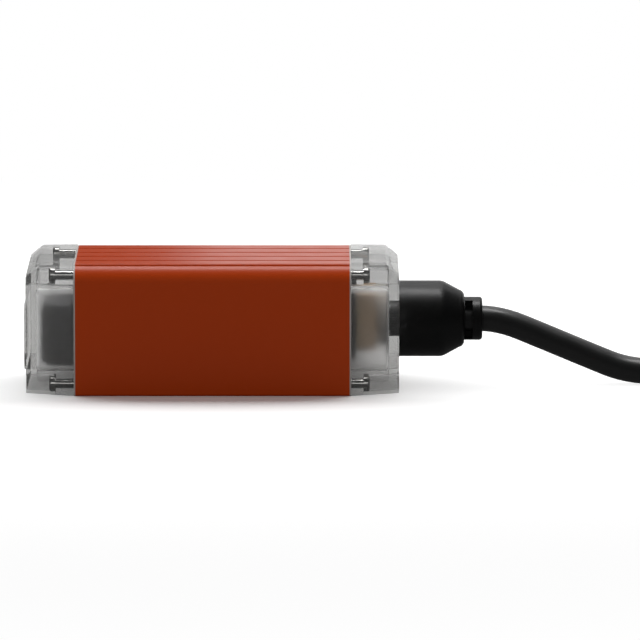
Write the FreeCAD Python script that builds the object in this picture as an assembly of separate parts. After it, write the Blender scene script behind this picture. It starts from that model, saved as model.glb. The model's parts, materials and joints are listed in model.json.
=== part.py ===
"""Embedded barcode reader: an extruded aluminium housing between two clear end caps.

Millimetres. X runs along the reader and the cable leaves at +X, Z is up, and the origin is the
middle of the base. The reading window is the end cap at -X. Pieces of the window end are drawn
at +X and mirrored by to_window_end, so in their functions x counts outwards from the middle.
"""
import FreeCAD
import Part

import math
import os

# Housing: an extruded tube with a grooved roof, a thick floor and four screw ports
BODY_LENGTH = 75.0
BODY_WIDTH = 44.0
BODY_HEIGHT = 36.0
SHOULDER_RADIUS = 4.8
FOOT_RADIUS = 0.6
SIDE_WALL = 2.2
ROOF = 2.4
FLOOR = 5.0
ROOM_RADIUS = 1.5
GROOVE_COUNT = 6
GROOVE_INSET = 3.0
GROOVE_RADIUS = 0.6
GROOVE_DEPTH = 0.4
PORT_WALL = 1.35
PORT_CORE_RADIUS = 1.05
THREAD_RUN = 1.0

# Threaded holes in the base that fix the reader to a machine
BASE_HOLE_SPACING_X = 50.0
BASE_HOLE_SPACING_Y = 20.0
BASE_HOLE_RADIUS = 1.25
BASE_HOLE_DEPTH = 4.0

# Gaskets between the housing and the caps
GASKET = 0.4
GASKET_LAND = 0.4

# End caps of clear plastic
CAP_LENGTH = 13.1
CAP_LIP = 0.3
CAP_SIDE_DRAFT = 1.5
CAP_TOP_DRAFT = 0.5
CAP_BASE_DRAFT = 3.4
CHAMFER_RUN = 3.8
CHAMFER_DROP = 3.5
CAP_SIDE_WALL = 2.5
CAP_ROOF = 2.7
CAP_FLOOR = 2.6
CAP_ROOM_RADIUS = 2.0
END_WALL = 2.7
EDGE_ROUND = 0.4
BOSS_HEIGHT = 0.2
WINDOW_RISE = 0.6
WINDOW_WIDTH = 34.0
WINDOW_LOW = 6.3
WINDOW_HIGH = 24.4
WINDOW_RADIUS = 3.0

# Cap screws and the pockets that take their heads
SCREW_INSET_SIDE = 4.0
SCREW_INSET_TOP = 3.1
SCREW_INSET_BASE = 2.9
SHANK_RADIUS = 1.25
SHANK_CLEARANCE = 0.15
HEAD_RADIUS = 2.2
HEAD_HEIGHT = 1.7
HEAD_ROUND = 0.6
SOCKET_FLATS = 1.5
SOCKET_DEPTH = 0.9
POCKET_CLEARANCE = 0.2
POCKET_WEB = 1.1
POCKET_RADIUS = 0.6
WINDOW_SCREW_LENGTH = 12.0
CABLE_SCREW_LENGTH = 10.0
WINDOW_SEAT = 5.1
CABLE_SEAT = 3.4

# Main board in its card slots
BOARD_LEVEL = 7.6
BOARD_THICKNESS = 1.6
BOARD_CLEARANCE = 0.3
BOARD_END_GAP = 0.4
RAIL_REACH = 1.6
RAIL_THICKNESS = 1.0
SLOT_CLEARANCE = 0.15
CHIP_HEIGHT = 1.4
MIDDLE_CHIPS = ((-6.0, 0.0, 13.0), (6.5, 6.0, 8.0))
SIDE_CHIPS = ((7.0, 2.2, 8.0), (28.0, 0.7, 6.0))
BEEPER_RADIUS = 6.0
BEEPER_HEIGHT = 5.5
BEEPER_X = 18.0
BEEPER_Y = 6.0
BEEPER_PORT_RADIUS = 1.2
BEEPER_PORT_DEPTH = 1.0
HEADER_WIDTH = 18.0
HEADER_HEIGHT = 3.4
HEADER_LENGTH = 4.6

# Optics module behind the window
OPTICS_WIDTH = 32.0
OPTICS_LOW = 6.7
OPTICS_HIGH = 25.0
OPTICS_REACH = 9.4
OPTICS_REAR = 22.0
OPTICS_WALL = 1.2
OPTICS_FRONT_WALL = 7.9
OPTICS_EDGE = 3.2
OPTICS_FRONT_ROUND = 3.0
LENS_LEVEL = 15.6
LENS_RADIUS = 2.9
BARREL_RADIUS = 4.0
BARREL_THREAD_RADIUS = 3.5
BARREL_THREAD_LENGTH = 4.0
BARREL_LENGTH = 16.5
BARREL_SETBACK = 0.8
BARREL_BORE_CLEARANCE = 0.3
BARREL_LIP = 0.6
LENS_THICKNESS = 1.2
LENS_CROWN = 0.5
REAR_LENS_DEPTH = 8.0
MOUNT_HALF = 4.8
MOUNT_LENGTH = 6.2
MOUNT_CAVITY_DEPTH = 2.0
MOUNT_CAVITY_RADIUS = 4.15
SENSOR_SIDE = 5.6
SENSOR_THICKNESS = 0.9
THIN_BOARD = 1.5
BOARD_FIT = 0.3
SPACER_RADIUS = 1.6
SPACER_HOLE_RADIUS = 0.9
SPACER_Y = 10.2
SPACER_RISE = 4.4
SMALL_SCREW_RADIUS = 0.9
SMALL_HEAD_RADIUS = 1.6
SMALL_HEAD_HEIGHT = 1.1
SMALL_SCREW_LENGTH = 5.0
LIGHT_Y = 10.2
LIGHT_PITCH = 6.4
LIGHT_SIDE = 2.8
LIGHT_HEIGHT = 1.3
LIGHT_DOME_RADIUS = 1.1
REFLECTOR_BACK = (4.0, 10.6)
REFLECTOR_FRONT = (5.2, 12.4)
AIMER_RADIUS = 1.2
AIMER_Y = 3.6
AIMER_RISE = 6.2
AIMER_SETBACK = 0.5
AIMER_EYE_RADIUS = 0.6
AIMER_EYE_DEPTH = 1.5

# Ribbon between the sensor board and the main board
RIBBON_WIDTH = 8.0
RIBBON_THICKNESS = 0.3
RIBBON_BEND = 4.0
RIBBON_LEVEL = 16.0
RIBBON_RUN = 3.4
RIBBON_SOCKET_DEPTH = 2.0
RIBBON_SOCKET_WIDTH = 10.0
RIBBON_SOCKET_HEIGHT = 2.6

# Cable socket inside the cable end cap
CABLE_RISE = 0.2
CABLE_LEVEL = BODY_HEIGHT / 2 + CABLE_RISE
SOCKET_BOARD_GAP = 0.2
SOCKET_BOARD_WIDTH = 29.0
SOCKET_BOARD_MARGIN = 2.3
SOCKET_BOARD_THICKNESS = 1.4
SOCKET_WIDTH = 17.0
SOCKET_HEIGHT = 16.4
SOCKET_EDGE = 1.0
SOCKET_LENGTH = 5.4
SOCKET_RECESS_DEPTH = 4.6
SOCKET_RECESS_CLEARANCE = 0.3
FLANGE_RADIUS = 8.2
FLANGE_EDGE = 0.8
PORT_RADIUS = 4.9
PORT_BOSS_RADIUS = 10.9
STATUS_LIGHT_SIZE = (1.6, 0.9)
STATUS_LIGHT_PITCH = 3.6
STATUS_LIGHT_Y = -11.6

# Plug on the cable, with its moulding and strain relief
NOSE_RADIUS = 4.05
NOSE_WALL = 0.7
NOSE_DEPTH = 10.2
INSERT_SETBACK = 0.6
PIN_COUNT = 5
PIN_CIRCLE_RADIUS = 1.9
PIN_RADIUS = 0.35
PIN_LENGTH = 5.0
PIN_CLEARANCE = 0.1
MOULD_RADIUS = 10.45
MOULD_STRAIGHT = 11.9
MOULD_TAPER = 4.7
MOULD_TAPER_RADIUS = 7.9
MOULD_TAIL = 1.3
MOULD_SHOULDER = 4.0
RELIEF_RADIUS = 5.95
RELIEF_LENGTH = 5.0
RELIEF_ROOT = 3.0
RELIEF_ROOT_RADIUS = 4.7
RELIEF_WINDOW_SETBACK = 0.15
RELIEF_WINDOW = 2.2
RELIEF_STRIP = 0.6
RELIEF_WEB = 1.6
RELIEF_ROUND = 0.8
RELIEF_MOUTH = 0.6

# Cable, its stored hank and the far plug
CABLE_RADIUS = 3.6
CABLE_FLOOR = 3.65
CABLE_SEATING = 9.0
CABLE_ROUTE = (
    (80.0, 0.0, CABLE_LEVEL),
    (96.0, -0.3, 10.9),
    (113.0, -0.9, CABLE_FLOOR),
    (129.0, -3.2, CABLE_FLOOR),
    (143.0, -10.5, CABLE_FLOOR),
)
HANK_X = 165.2
HANK_Y = 18.0
HANK_RUN = 52.0
HANK_RADIUS = 25.2
HANK_TURNS_ACROSS = 2
HANK_LAYERS = 3
HANK_ROUND = 2.0
TIE_THICKNESS = 0.8
TIE_WIDTH = 12.0
TIE_CLEARANCE = 0.1
TAIL_SIDES = 6
RUN_SHARE = 0.45
USB_GRIP_LENGTH = 26.0
USB_GRIP_WIDTH = 15.0
USB_GRIP_HEIGHT = 7.8
USB_GRIP_ROUND = 2.0
USB_SHELL_LENGTH = 18.75
USB_SHELL_WIDTH = 12.0
USB_SHELL_HEIGHT = 4.5
USB_SHELL_WALL = 0.35
USB_LATCH_SIZE = 2.4
USB_LATCH_Y = 2.9
USB_LATCH_SETBACK = 5.2
USB_TONGUE_THICKNESS = 1.9
USB_TONGUE_SETBACK = 0.8

# Places worked out from the sizes above
HALF_LENGTH = BODY_LENGTH / 2
HALF_WIDTH = BODY_WIDTH / 2
SEAM = HALF_LENGTH + GASKET
CAP_END = SEAM + CAP_LENGTH
END_WALL_INSIDE = CAP_END - END_WALL
BOSS_FACE = CAP_END + BOSS_HEIGHT
SCREW_Y = HALF_WIDTH - SCREW_INSET_SIDE
SCREW_TOP = BODY_HEIGHT - SCREW_INSET_TOP
SCREW_BASE = SCREW_INSET_BASE
POCKET_HALF = HEAD_RADIUS + POCKET_CLEARANCE
CAP_ROOM_LOW = SCREW_BASE + POCKET_HALF + POCKET_WEB
CAP_ROOM_HIGH = SCREW_TOP - POCKET_HALF - POCKET_WEB
BOARD_TOP = BOARD_LEVEL + BOARD_THICKNESS
BOARD_END = HALF_LENGTH - BOARD_END_GAP
OPTICS_FRONT = SEAM + OPTICS_REACH
OPTICS_INSIDE = OPTICS_FRONT - OPTICS_FRONT_WALL
BARREL_FRONT = OPTICS_FRONT - BARREL_SETBACK
BARREL_REAR = BARREL_FRONT - BARREL_LENGTH
MOUNT_FRONT = BARREL_REAR + BARREL_THREAD_LENGTH
SENSOR_BOARD_FRONT = MOUNT_FRONT - MOUNT_LENGTH
SENSOR_BOARD_BACK = SENSOR_BOARD_FRONT - THIN_BOARD
LIGHT_BOARD_BACK = OPTICS_INSIDE - THIN_BOARD
OPTICS_ROOM_LOW = BOARD_TOP + OPTICS_WALL
OPTICS_ROOM_HIGH = OPTICS_HIGH - OPTICS_WALL
OPTICS_MIDDLE = (OPTICS_ROOM_LOW + OPTICS_ROOM_HIGH) / 2
OPTICS_ROOM_HALF = OPTICS_WIDTH / 2 - OPTICS_WALL
SOCKET_BOARD_X = SEAM + SOCKET_BOARD_GAP
SOCKET_X = SOCKET_BOARD_X + SOCKET_BOARD_THICKNESS
FLANGE_X = SOCKET_X + SOCKET_LENGTH
NOSE_TIP = BOSS_FACE - NOSE_DEPTH
MOULD_END = BOSS_FACE + MOULD_STRAIGHT + MOULD_TAPER + MOULD_TAIL
RELIEF_END = MOULD_END + RELIEF_LENGTH
CABLE_DIAMETER = 2 * CABLE_RADIUS
HANK_HALF_SECTION = HANK_TURNS_ACROSS * CABLE_RADIUS
HANK_BASE = TIE_THICKNESS + TIE_CLEARANCE
HANK_TOP = HANK_BASE + HANK_LAYERS * CABLE_DIAMETER
TIE_TOP = HANK_TOP + TIE_CLEARANCE + TIE_THICKNESS
TAIL_LEVEL = TIE_TOP + USB_GRIP_HEIGHT / 2


def vec(x, y, z):
    return FreeCAD.Vector(x, y, z)


ALONG = vec(1, 0, 0)


def corner_arc(x, y, z, radius, start):
    """Quarter circle about (y, z) in a plane of constant x."""
    points = []
    for angle in (start, start + 45, start + 90):
        turn = math.radians(angle)
        points.append(vec(x, y + radius * math.cos(turn), z + radius * math.sin(turn)))
    return Part.Arc(*points).toShape()


def outline(x, half_width, low, high, low_radius, high_radius, middle=0.0):
    """Closed wire in a plane of constant x: an upright rectangle with four rounded corners."""
    left = middle - half_width
    right = middle + half_width
    arcs = [
        corner_arc(x, right - low_radius, low + low_radius, low_radius, -90),
        corner_arc(x, right - high_radius, high - high_radius, high_radius, 0),
        corner_arc(x, left + high_radius, high - high_radius, high_radius, 90),
        corner_arc(x, left + low_radius, low + low_radius, low_radius, 180),
    ]
    edges = []
    for arc, following in zip(arcs, arcs[1:] + arcs[:1]):
        edges.append(arc)
        edges.append(Part.makeLine(arc.Vertexes[-1].Point, following.Vertexes[0].Point))
    return Part.Wire(edges)


def prism(wire, length):
    """Solid swept from a wire along X."""
    return Part.Face(wire).extrude(ALONG * length)


def block(x_range, y_range, z_range):
    size = [high - low for low, high in (x_range, y_range, z_range)]
    return Part.makeBox(*size, vec(x_range[0], y_range[0], z_range[0]))


def rod(start, end, radius, y, z):
    """Cylinder along X between two places."""
    return Part.makeCylinder(radius, end - start, vec(start, y, z), ALONG)


def turned(points, y, z):
    """Solid of revolution about an axis along X, from (x, radius) points of its closed outline."""
    corners = [vec(x, y, z + radius) for x, radius in points]
    wire = Part.makePolygon(corners + corners[:1])
    return Part.Face(wire).revolve(vec(0, y, z), ALONG, 360)


def rounded(shape, radius, is_chosen):
    """Fillet of the edges whose centre passes a test."""
    edges = [edge for edge in shape.Edges if is_chosen(edge)]
    return shape.makeFillet(radius, edges)


def lies_at(x):
    """Test for edges that lie wholly in the plane of one x."""
    def is_chosen(edge):
        box = edge.BoundBox
        return abs(box.XMin - x) < 1e-4 and abs(box.XMax - x) < 1e-4
    return is_chosen


def to_window_end(shape):
    """Mirror image of a shape in the middle plane of the reader."""
    return shape.mirror(vec(0, 0, 0), ALONG)


def screw_places():
    return [(side * SCREW_Y, level) for side in (-1, 1) for level in (SCREW_BASE, SCREW_TOP)]


def roof_level(y):
    """Height of the housing's outside above a place across it."""
    beyond = abs(y) - (HALF_WIDTH - SHOULDER_RADIUS)
    if beyond <= 0:
        return BODY_HEIGHT
    return BODY_HEIGHT - SHOULDER_RADIUS + math.sqrt(SHOULDER_RADIUS ** 2 - beyond ** 2)


# Housing and gaskets

def room_of_body():
    """Inside of the tube, less the screw ports in its corners."""
    half = HALF_WIDTH - SIDE_WALL
    room = prism(outline(-HALF_LENGTH, half, FLOOR, BODY_HEIGHT - ROOF, ROOM_RADIUS, ROOM_RADIUS),
                 BODY_LENGTH)
    ports = [rod(-HALF_LENGTH, HALF_LENGTH, SHANK_RADIUS + PORT_WALL, y, z) for y, z in screw_places()]
    return room.cut(ports)


def card_rails():
    """Two pairs of ribs that hold the long edges of the main board."""
    inner = HALF_WIDTH - SIDE_WALL - RAIL_REACH
    below = BOARD_LEVEL - SLOT_CLEARANCE
    above = BOARD_TOP + SLOT_CLEARANCE
    rails = []
    for low, high in ((below - RAIL_THICKNESS, below), (above, above + RAIL_THICKNESS)):
        for y_range in ((inner, HALF_WIDTH - SIDE_WALL / 2), (SIDE_WALL / 2 - HALF_WIDTH, -inner)):
            rails.append(block((-HALF_LENGTH, HALF_LENGTH), y_range, (low, high)))
    return rails


def thread_depth(seat, length):
    """Depth of the tapped hole that takes a screw of one length through cap and gasket."""
    return length - seat - GASKET + THREAD_RUN


def housing_extrusion():
    tube = prism(outline(-HALF_LENGTH, HALF_WIDTH, 0, BODY_HEIGHT, FOOT_RADIUS, SHOULDER_RADIUS),
                 BODY_LENGTH)
    tube = tube.cut(room_of_body()).fuse(card_rails())
    cuts = []
    pitch = 2 * (HALF_WIDTH - GROOVE_INSET) / (GROOVE_COUNT - 1)
    for index in range(GROOVE_COUNT):
        y = GROOVE_INSET - HALF_WIDTH + index * pitch
        level = roof_level(y) + GROOVE_RADIUS - GROOVE_DEPTH
        cuts.append(rod(-HALF_LENGTH, HALF_LENGTH, GROOVE_RADIUS, y, level))
    window_thread = thread_depth(WINDOW_SEAT, WINDOW_SCREW_LENGTH)
    cable_thread = thread_depth(CABLE_SEAT, CABLE_SCREW_LENGTH)
    for y, z in screw_places():
        cuts.append(rod(-HALF_LENGTH, HALF_LENGTH, PORT_CORE_RADIUS, y, z))
        cuts.append(rod(-HALF_LENGTH, window_thread - HALF_LENGTH, SHANK_RADIUS, y, z))
        cuts.append(rod(HALF_LENGTH - cable_thread, HALF_LENGTH, SHANK_RADIUS, y, z))
    for x in (-BASE_HOLE_SPACING_X / 2, BASE_HOLE_SPACING_X / 2):
        for y in (-BASE_HOLE_SPACING_Y / 2, BASE_HOLE_SPACING_Y / 2):
            cuts.append(Part.makeCylinder(BASE_HOLE_RADIUS, BASE_HOLE_DEPTH, vec(x, y, 0)))
    return tube.cut(cuts).removeSplitter()


def room_of_cap(start, end, grow=0.0):
    """Inside of an end cap: full width between the screw levels, full height between the screws."""
    wide = outline(start, HALF_WIDTH + CAP_LIP - CAP_SIDE_WALL + grow, CAP_ROOM_LOW - grow,
                   CAP_ROOM_HIGH + grow, CAP_ROOM_RADIUS, CAP_ROOM_RADIUS)
    tall = outline(start, SCREW_Y - POCKET_HALF - POCKET_WEB + grow, CAP_FLOOR - grow,
                   BODY_HEIGHT + CAP_LIP - CAP_ROOF + grow, CAP_ROOM_RADIUS, CAP_ROOM_RADIUS)
    length = end - start
    return prism(wide, length).fuse(prism(tall, length)).removeSplitter()


def gasket():
    """Flat seal on the housing's end face, open where the cap is hollow."""
    sheet = prism(outline(HALF_LENGTH, HALF_WIDTH, 0, BODY_HEIGHT, FOOT_RADIUS, SHOULDER_RADIUS), GASKET)
    holes = [rod(HALF_LENGTH, SEAM, SHANK_RADIUS + SHANK_CLEARANCE, y, z) for y, z in screw_places()]
    return sheet.cut([room_of_cap(HALF_LENGTH, SEAM, GASKET_LAND)] + holes)


# End caps

def cap_blank():
    """Drafted block with the sloping cut along its upper outer edge."""
    def drop(angle):
        return CAP_LENGTH * math.tan(math.radians(angle))

    half = HALF_WIDTH + CAP_LIP
    top = BODY_HEIGHT + CAP_LIP
    shoulder = SHOULDER_RADIUS + CAP_LIP
    inner = outline(SEAM, half, 0, top, FOOT_RADIUS, shoulder)
    outer = outline(CAP_END, half - drop(CAP_SIDE_DRAFT), drop(CAP_BASE_DRAFT),
                    top - drop(CAP_TOP_DRAFT), FOOT_RADIUS, shoulder)
    blank = Part.makeLoft([inner, outer], True, True)
    margin = 1.0
    slope = CHAMFER_DROP / CHAMFER_RUN
    corners = [
        vec(CAP_END - CHAMFER_RUN - margin, -half - margin, top + slope * margin),
        vec(CAP_END + margin, -half - margin, top + slope * margin),
        vec(CAP_END + margin, -half - margin, top - CHAMFER_DROP - slope * margin),
    ]
    wedge = Part.Face(Part.makePolygon(corners + corners[:1])).extrude(vec(0, 2 * (half + margin), 0))
    blank = blank.cut(wedge)

    def is_outer_edge(edge):
        return lies_at(CAP_END)(edge) or lies_in_slope(edge)

    def lies_in_slope(edge):
        places = [vertex.Point for vertex in edge.Vertexes] + [edge.CenterOfMass]
        return all(abs(place.z - top + slope * (place.x - CAP_END + CHAMFER_RUN)) < 0.3 for place in places)
    return rounded(blank, EDGE_ROUND, is_outer_edge)


def screw_pockets(seat):
    """Flat-sided pockets for the screw heads; the lower two are open at the underside."""
    tools = []
    for y, z in screw_places():
        low = z - POCKET_HALF
        if z == SCREW_BASE:
            low = -POCKET_HALF
        start = SEAM + seat
        pocket = outline(start, POCKET_HALF, low, z + POCKET_HALF, POCKET_RADIUS, POCKET_RADIUS, y)
        tools.append(prism(pocket, BOSS_FACE - start))
        tools.append(rod(SEAM, start, SHANK_RADIUS + SHANK_CLEARANCE, y, z))
    return tools


def end_cap(seat, boss):
    room = room_of_cap(SEAM, END_WALL_INSIDE)
    room = rounded(room, CAP_ROOM_RADIUS / 2, lies_at(END_WALL_INSIDE))
    return cap_blank().fuse(boss).cut([room] + screw_pockets(seat))


def window_end_cap():
    """Cap with the raised, flat reading window."""
    panel = prism(outline(CAP_END - EDGE_ROUND, WINDOW_WIDTH / 2, WINDOW_LOW, WINDOW_HIGH,
                          WINDOW_RADIUS, WINDOW_RADIUS), WINDOW_RISE + EDGE_ROUND)
    return to_window_end(end_cap(WINDOW_SEAT, panel))


def cable_end_cap():
    """Cap with the round boss and port of the cable plug."""
    boss = rod(CAP_END - EDGE_ROUND, BOSS_FACE, PORT_BOSS_RADIUS, 0, CABLE_LEVEL)
    port = rod(END_WALL_INSIDE, BOSS_FACE, PORT_RADIUS, 0, CABLE_LEVEL)
    return end_cap(CABLE_SEAT, boss).cut(port)


def hexagon_recess(x, y, z, depth):
    radius = SOCKET_FLATS / math.sqrt(3)
    corners = []
    for index in range(7):
        turn = math.radians(60 * index)
        corners.append(vec(x - depth, y + radius * math.cos(turn), z + radius * math.sin(turn)))
    return prism(Part.makePolygon(corners), depth)


def cap_screws(seat, length):
    """Four round-headed screws with hexagon sockets."""
    screws = []
    face = SEAM + seat
    for y, z in screw_places():
        head = rod(face, face + HEAD_HEIGHT, HEAD_RADIUS, y, z)
        head = rounded(head, HEAD_ROUND, lies_at(face + HEAD_HEIGHT))
        head = head.cut(hexagon_recess(face + HEAD_HEIGHT, y, z, SOCKET_DEPTH))
        screws.append(head.fuse(rod(face - length, face, SHANK_RADIUS, y, z)).removeSplitter())
    return Part.makeCompound(screws)


# Optics module

def reflector(side):
    """Flared opening in front of one column of lights."""
    def mouth(x, size):
        half_width, half_height = size[0] / 2, size[1] / 2
        return outline(x, half_width, OPTICS_MIDDLE - half_height, OPTICS_MIDDLE + half_height,
                       half_width / 2, half_width / 2, side * LIGHT_Y)
    return Part.makeLoft([mouth(OPTICS_INSIDE, REFLECTOR_BACK), mouth(OPTICS_FRONT, REFLECTOR_FRONT)],
                         True, True)


def optics_housing():
    """Dark moulding: a deep front wall with the openings, and a box that stands on the board."""
    half = OPTICS_WIDTH / 2
    head_start = HALF_LENGTH - BOARD_END_GAP / 2
    head = prism(outline(head_start, half, OPTICS_LOW, OPTICS_HIGH, OPTICS_EDGE, OPTICS_EDGE),
                 OPTICS_FRONT - head_start)
    head = rounded(head, OPTICS_FRONT_ROUND, lies_at(OPTICS_FRONT))
    box = prism(outline(OPTICS_REAR, half, BOARD_TOP, OPTICS_HIGH, OPTICS_EDGE / 2, OPTICS_EDGE),
                head_start - OPTICS_REAR)
    room = prism(outline(OPTICS_REAR, OPTICS_ROOM_HALF, OPTICS_ROOM_LOW, OPTICS_ROOM_HIGH,
                         OPTICS_EDGE / 2, OPTICS_EDGE / 2), OPTICS_INSIDE - OPTICS_REAR)
    openings = [reflector(-1), reflector(1)]
    openings.append(rod(OPTICS_INSIDE, OPTICS_FRONT, BARREL_RADIUS + BARREL_BORE_CLEARANCE, 0, LENS_LEVEL))
    for side in (-1, 1):
        openings.append(rod(OPTICS_INSIDE, OPTICS_FRONT, AIMER_RADIUS, side * AIMER_Y,
                            LENS_LEVEL + AIMER_RISE))
    return to_window_end(head.fuse(box).cut([room] + openings).removeSplitter())


def thin_board(x):
    """Upright board that fits the optics housing's room."""
    return prism(outline(x, OPTICS_ROOM_HALF - BOARD_FIT, OPTICS_ROOM_LOW + BOARD_FIT,
                         OPTICS_ROOM_HIGH - BOARD_FIT, OPTICS_EDGE / 2, OPTICS_EDGE / 2), THIN_BOARD)


def spacer_places():
    return [(side * SPACER_Y, OPTICS_MIDDLE + rise * SPACER_RISE) for side in (-1, 1) for rise in (-1, 1)]


def illumination_board():
    hole = rod(LIGHT_BOARD_BACK, OPTICS_INSIDE, BARREL_RADIUS + BARREL_BORE_CLEARANCE, 0, LENS_LEVEL)
    aims = [rod(LIGHT_BOARD_BACK, OPTICS_INSIDE, AIMER_RADIUS, side * AIMER_Y, LENS_LEVEL + AIMER_RISE)
            for side in (-1, 1)]
    return to_window_end(thin_board(LIGHT_BOARD_BACK).cut([hole] + aims))


def illumination_leds():
    lights = []
    for side in (-1, 1):
        for rise in (-LIGHT_PITCH / 2, LIGHT_PITCH / 2):
            y = side * LIGHT_Y
            z = OPTICS_MIDDLE + rise
            base = block((OPTICS_INSIDE, OPTICS_INSIDE + LIGHT_HEIGHT),
                         (y - LIGHT_SIDE / 2, y + LIGHT_SIDE / 2), (z - LIGHT_SIDE / 2, z + LIGHT_SIDE / 2))
            dome = Part.makeSphere(LIGHT_DOME_RADIUS, vec(OPTICS_INSIDE + LIGHT_HEIGHT, y, z))
            lights.append(base.fuse(dome).removeSplitter())
    return to_window_end(Part.makeCompound(lights))


def aimer_barrels():
    """Two small pointers beside the top of the lens."""
    front = OPTICS_FRONT - AIMER_SETBACK
    barrels = []
    for side in (-1, 1):
        y = side * AIMER_Y
        z = LENS_LEVEL + AIMER_RISE
        eye = rod(front - AIMER_EYE_DEPTH, front, AIMER_EYE_RADIUS, y, z)
        barrels.append(rod(LIGHT_BOARD_BACK, front, AIMER_RADIUS, y, z).cut(eye))
    return to_window_end(Part.makeCompound(barrels))


def lens_barrel():
    """Tube with a plain front, a threaded rear and a lip that keeps the front lens in."""
    opening = LENS_RADIUS - BARREL_LIP
    tube = turned([
        (BARREL_REAR, LENS_RADIUS),
        (BARREL_REAR, BARREL_THREAD_RADIUS),
        (MOUNT_FRONT, BARREL_THREAD_RADIUS),
        (MOUNT_FRONT, BARREL_RADIUS),
        (BARREL_FRONT, BARREL_RADIUS),
        (BARREL_FRONT, opening + BARREL_LIP / 2),
        (BARREL_FRONT - BARREL_LIP, opening),
        (BARREL_FRONT - BARREL_LIP, LENS_RADIUS),
    ], 0, LENS_LEVEL)
    return to_window_end(tube)


def lens(front, crown):
    """Lens with a flat rear face and a domed front."""
    edge = front - crown
    dome_radius = (LENS_RADIUS ** 2 + crown ** 2) / (2 * crown)
    rear = edge - LENS_THICKNESS
    half_chord = LENS_RADIUS / 2
    bulge = math.sqrt(dome_radius ** 2 - half_chord ** 2) - (dome_radius - crown)
    rim = Part.makePolygon([vec(edge, 0, LENS_LEVEL + LENS_RADIUS), vec(rear, 0, LENS_LEVEL + LENS_RADIUS),
                            vec(rear, 0, LENS_LEVEL), vec(front, 0, LENS_LEVEL)])
    dome = Part.Arc(vec(front, 0, LENS_LEVEL), vec(edge + bulge, 0, LENS_LEVEL + half_chord),
                    vec(edge, 0, LENS_LEVEL + LENS_RADIUS)).toShape()
    return Part.Face(Part.Wire(rim.Edges + [dome])).revolve(vec(0, 0, LENS_LEVEL), ALONG, 360)


def lens_elements():
    front = lens(BARREL_FRONT - BARREL_LIP, LENS_CROWN)
    rear = lens(BARREL_FRONT - BARREL_LIP - REAR_LENS_DEPTH, LENS_CROWN)
    return to_window_end(Part.makeCompound([front, rear]))


def lens_mount():
    """Threaded block between the lens barrel and the sensor board."""
    mount = block((SENSOR_BOARD_FRONT, MOUNT_FRONT), (-MOUNT_HALF, MOUNT_HALF),
                  (LENS_LEVEL - MOUNT_HALF, LENS_LEVEL + MOUNT_HALF))
    thread = rod(SENSOR_BOARD_FRONT, MOUNT_FRONT, BARREL_THREAD_RADIUS, 0, LENS_LEVEL)
    cavity = rod(SENSOR_BOARD_FRONT, SENSOR_BOARD_FRONT + MOUNT_CAVITY_DEPTH, MOUNT_CAVITY_RADIUS, 0,
                 LENS_LEVEL)
    return to_window_end(mount.cut([thread, cavity]))


def sensor_board():
    holes = [rod(SENSOR_BOARD_BACK, SENSOR_BOARD_FRONT, SMALL_SCREW_RADIUS, y, z)
             for y, z in spacer_places()]
    return to_window_end(thin_board(SENSOR_BOARD_BACK).cut(holes))


def image_sensor():
    half = SENSOR_SIDE / 2
    chip = block((SENSOR_BOARD_FRONT, SENSOR_BOARD_FRONT + SENSOR_THICKNESS), (-half, half),
                 (LENS_LEVEL - half, LENS_LEVEL + half))
    return to_window_end(chip)


def board_spacers():
    """Four threaded pillars that carry the sensor board behind the lights."""
    pillars = []
    for y, z in spacer_places():
        pillar = rod(SENSOR_BOARD_FRONT, LIGHT_BOARD_BACK, SPACER_RADIUS, y, z)
        pillars.append(pillar.cut(rod(SENSOR_BOARD_FRONT, LIGHT_BOARD_BACK, SPACER_HOLE_RADIUS, y, z)))
    return to_window_end(Part.makeCompound(pillars))


def sensor_board_screws():
    screws = []
    for y, z in spacer_places():
        head = rod(SENSOR_BOARD_BACK - SMALL_HEAD_HEIGHT, SENSOR_BOARD_BACK, SMALL_HEAD_RADIUS, y, z)
        shank = rod(SENSOR_BOARD_BACK, SENSOR_BOARD_BACK + SMALL_SCREW_LENGTH, SMALL_SCREW_RADIUS, y, z)
        screws.append(head.fuse(shank).removeSplitter())
    return to_window_end(Part.makeCompound(screws))


# Main board and what stands on it

def ribbon_x():
    """Place of the upright end of the ribbon, in its own mirrored sense."""
    return SENSOR_BOARD_BACK - RIBBON_SOCKET_DEPTH - RIBBON_RUN - RIBBON_BEND


def flex_ribbon():
    """Flat cable that turns down from the sensor board to the main board."""
    start = SENSOR_BOARD_BACK - RIBBON_SOCKET_DEPTH
    bend = start - RIBBON_RUN
    inner = RIBBON_BEND
    outer = RIBBON_BEND + RIBBON_THICKNESS
    centre = RIBBON_LEVEL - RIBBON_BEND
    foot = BOARD_TOP + RIBBON_SOCKET_HEIGHT
    slant = math.sqrt(0.5)

    def quarter(radius):
        return Part.Arc(vec(bend, -RIBBON_WIDTH / 2, centre + radius),
                        vec(bend - radius * slant, -RIBBON_WIDTH / 2, centre + radius * slant),
                        vec(bend - radius, -RIBBON_WIDTH / 2, centre)).toShape()

    def line(x1, z1, x2, z2):
        return Part.makeLine(vec(x1, -RIBBON_WIDTH / 2, z1), vec(x2, -RIBBON_WIDTH / 2, z2))

    edges = [
        line(start, centre + inner, bend, centre + inner),
        quarter(inner),
        line(bend - inner, centre, bend - inner, foot),
        line(bend - inner, foot, bend - outer, foot),
        line(bend - outer, foot, bend - outer, centre),
        quarter(outer),
        line(bend, centre + outer, start, centre + outer),
        line(start, centre + outer, start, centre + inner),
    ]
    face = Part.Face(Part.Wire(Part.sortEdges(edges)[0]))
    return to_window_end(face.extrude(vec(0, RIBBON_WIDTH, 0)))


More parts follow.
